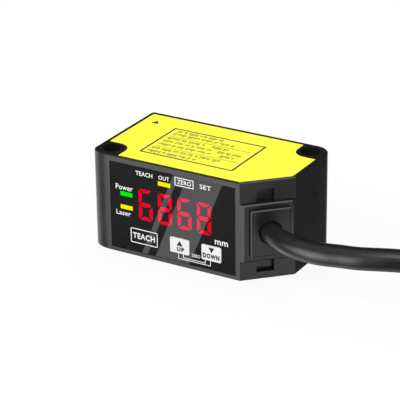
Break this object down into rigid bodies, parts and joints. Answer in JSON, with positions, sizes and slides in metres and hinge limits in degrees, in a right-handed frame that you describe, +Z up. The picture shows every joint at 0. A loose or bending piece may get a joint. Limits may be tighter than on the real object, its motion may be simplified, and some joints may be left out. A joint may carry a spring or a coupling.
{
  "type": "laser displacement sensor",
  "caption": "Compact block-shaped laser distance sensor with a digit display and keys on one face, optics window behind, label on the side, corner cable outlet and diagonal mounting holes.",
  "frame": {"origin": "middle of the base of the body, without the cable", "axes": "+X along the body towards the end with the cable, +Y from the display face to the laser face, +Z up to the label"},
  "size_m": [0.1758, 0.0554, 0.0217],
  "materials": {
    "housing": "fine satin, black",
    "side_cover": "matt, dark grey",
    "side_label": "smooth yellow film with blue print",
    "display_panel": "high gloss, black",
    "dark_key": "gloss, black with a white outline",
    "white_key": "smooth, white",
    "plunger": "moulded, tan",
    "switch": "moulded, dark grey",
    "digit_display": "matt, black",
    "digit_segments": "diffusing, lit red",
    "green_light": "diffusing, lit green",
    "yellow_light": "diffusing, lit yellow",
    "led": "clear resin",
    "circuit_board": "solder mask, green",
    "chip": "moulded, black",
    "optical_bench": "black anodised",
    "screw": "plain steel",
    "barrel": "turned",
    "diode": "plated",
    "lens": "polished",
    "lens_ring": "matt, black",
    "image_sensor": "glazed chip",
    "window": "dark red-black filter, gloss",
    "grommet": "satin, black",
    "conductor": "insulated wire",
    "cable": "smooth black sheath",
    "tie": "nylon, black"
  },
  "bodies": {
    "sensor_head": {"housing": "housing", "side_cover": "side_cover", "side_label": "side_label", "display_panel": "display_panel", "teach_switch": "switch", "up_switch": "switch", "down_switch": "switch", "digit_display": "digit_display", "digit_segments": "digit_segments", "power_light": "green_light", "laser_light": "yellow_light", "output_light": "yellow_light", "power_led": "led", "laser_led": "led", "output_led": "led", "display_board": "circuit_board", "board_header": "chip", "main_board": "circuit_board", "processor_chip": "chip", "optical_bench": "optical_bench", "bench_screws": "screw", "laser_barrel": "barrel", "laser_diode": "diode", "collimator_lens": "lens", "receiver_lens": "lens", "lens_ring": "lens_ring", "image_sensor": "image_sensor", "sensor_board": "circuit_board", "front_window": "window", "cable_grommet": "grommet", "conductors": "conductor", "cable": "cable", "cable_hank": "cable", "hank_ties": "tie", "lead_wires": "conductor"},
    "teach_button": {"teach_key": "dark_key", "teach_plunger": "plunger"},
    "up_button": {"up_key": "white_key", "up_plunger": "plunger"},
    "down_button": {"down_key": "white_key", "down_plunger": "plunger"}
  },
  "joints": [
    {"name": "teach_press", "type": "slide", "parent": "sensor_head", "child": "teach_button", "axis": [0, 1, 0], "range_m": [0, 0.00025], "stiffness_N_per_m": 400, "springref_m": -0.0005},
    {"name": "up_press", "type": "slide", "parent": "sensor_head", "child": "up_button", "axis": [0, 1, 0], "range_m": [0, 0.00025], "stiffness_N_per_m": 400, "springref_m": -0.0005},
    {"name": "down_press", "type": "slide", "parent": "sensor_head", "child": "down_button", "axis": [0, 1, 0], "range_m": [0, 0.00025], "stiffness_N_per_m": 400, "springref_m": -0.0005}
  ]
}
